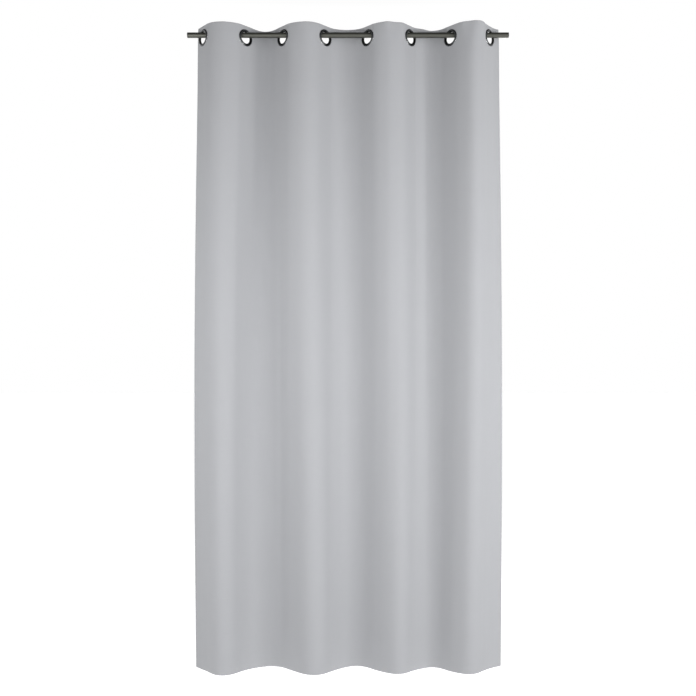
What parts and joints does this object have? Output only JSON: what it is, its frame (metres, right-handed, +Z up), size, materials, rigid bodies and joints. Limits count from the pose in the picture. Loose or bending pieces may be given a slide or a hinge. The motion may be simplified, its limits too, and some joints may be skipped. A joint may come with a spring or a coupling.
{
  "type": "curtain panel",
  "caption": "Full-length fabric curtain panel with large ring eyelets, hanging in deep waves on a straight tubular rod.",
  "frame": {"origin": "middle of the rod's axis, where its brackets hold it", "axes": "+Z up, +X along the rod, -Y towards the room"},
  "size_m": [1.221, 0.1106, 2.45],
  "materials": {
    "cloth": "matt plain weave, mid grey",
    "header_tape": "stiff non-woven tape",
    "eyelet": "polished gunmetal",
    "rod": "satin dark steel",
    "rod_plug": "moulded, matt",
    "label": "woven satin tape, blank"
  },
  "bodies": {
    "rod": {"rod_tube": "rod", "rod_end_plug_left": "rod_plug", "rod_end_plug_right": "rod_plug"},
    "fold_1": {"face_cloth_1": "cloth", "header_tape_1": "header_tape", "header_fold_1": "cloth", "bottom_hem_1": "cloth", "eyelet_front_1": "eyelet", "eyelet_back_1": "eyelet", "side_hem_left": "cloth"},
    "fold_2": {"face_cloth_2": "cloth", "header_tape_2": "header_tape", "header_fold_2": "cloth", "bottom_hem_2": "cloth", "eyelet_front_2": "eyelet", "eyelet_back_2": "eyelet"},
    "fold_3": {"face_cloth_3": "cloth", "header_tape_3": "header_tape", "header_fold_3": "cloth", "bottom_hem_3": "cloth", "eyelet_front_3": "eyelet", "eyelet_back_3": "eyelet"},
    "fold_4": {"face_cloth_4": "cloth", "header_tape_4": "header_tape", "header_fold_4": "cloth", "bottom_hem_4": "cloth", "eyelet_front_4": "eyelet", "eyelet_back_4": "eyelet"},
    "fold_5": {"face_cloth_5": "cloth", "header_tape_5": "header_tape", "header_fold_5": "cloth", "bottom_hem_5": "cloth", "eyelet_front_5": "eyelet", "eyelet_back_5": "eyelet"},
    "fold_6": {"face_cloth_6": "cloth", "header_tape_6": "header_tape", "header_fold_6": "cloth", "bottom_hem_6": "cloth", "eyelet_front_6": "eyelet", "eyelet_back_6": "eyelet"},
    "fold_7": {"face_cloth_7": "cloth", "header_tape_7": "header_tape", "header_fold_7": "cloth", "bottom_hem_7": "cloth", "eyelet_front_7": "eyelet", "eyelet_back_7": "eyelet"},
    "fold_8": {"face_cloth_8": "cloth", "header_tape_8": "header_tape", "header_fold_8": "cloth", "bottom_hem_8": "cloth", "eyelet_front_8": "eyelet", "eyelet_back_8": "eyelet", "side_hem_right": "cloth", "care_label": "label"}
  },
  "joints": [
    {"name": "gather", "type": "hinge", "parent": "rod", "child": "fold_1", "pos_m": [-0.54949, 0, 0], "axis": [0, 0, -1], "range_deg": [0, 43]},
    {"name": "crest_1_2", "type": "hinge", "parent": "fold_1", "child": "fold_2", "pos_m": [-0.46972, -0.03419, 0], "axis": [0, 0, 1], "range_deg": [0, 86]},
    {"name": "crest_2_3", "type": "hinge", "parent": "fold_2", "child": "fold_3", "pos_m": [-0.31839, 0.05401, 0], "axis": [0, 0, -1], "range_deg": [0, 86]},
    {"name": "crest_3_4", "type": "hinge", "parent": "fold_3", "child": "fold_4", "pos_m": [-0.16683, -0.03741, 0], "axis": [0, 0, 1], "range_deg": [0, 86]},
    {"name": "crest_4_5", "type": "hinge", "parent": "fold_4", "child": "fold_5", "pos_m": [-0.00574, 0.03271, 0], "axis": [0, 0, -1], "range_deg": [0, 86]},
    {"name": "crest_5_6", "type": "hinge", "parent": "fold_5", "child": "fold_6", "pos_m": [0.15582, -0.03482, 0], "axis": [0, 0, 1], "range_deg": [0, 86]},
    {"name": "crest_6_7", "type": "hinge", "parent": "fold_6", "child": "fold_7", "pos_m": [0.31331, 0.04431, 0], "axis": [0, 0, -1], "range_deg": [0, 86]},
    {"name": "crest_7_8", "type": "hinge", "parent": "fold_7", "child": "fold_8", "pos_m": [0.46365, -0.05063, 0], "axis": [0, 0, 1], "range_deg": [0, 86]}
  ],
  "couplings": [
    {"joint": "crest_1_2", "follows": "gather", "ratio": 2},
    {"joint": "crest_2_3", "follows": "gather", "ratio": 2},
    {"joint": "crest_3_4", "follows": "gather", "ratio": 2},
    {"joint": "crest_4_5", "follows": "gather", "ratio": 2},
    {"joint": "crest_5_6", "follows": "gather", "ratio": 2},
    {"joint": "crest_6_7", "follows": "gather", "ratio": 2},
    {"joint": "crest_7_8", "follows": "gather", "ratio": 2}
  ]
}
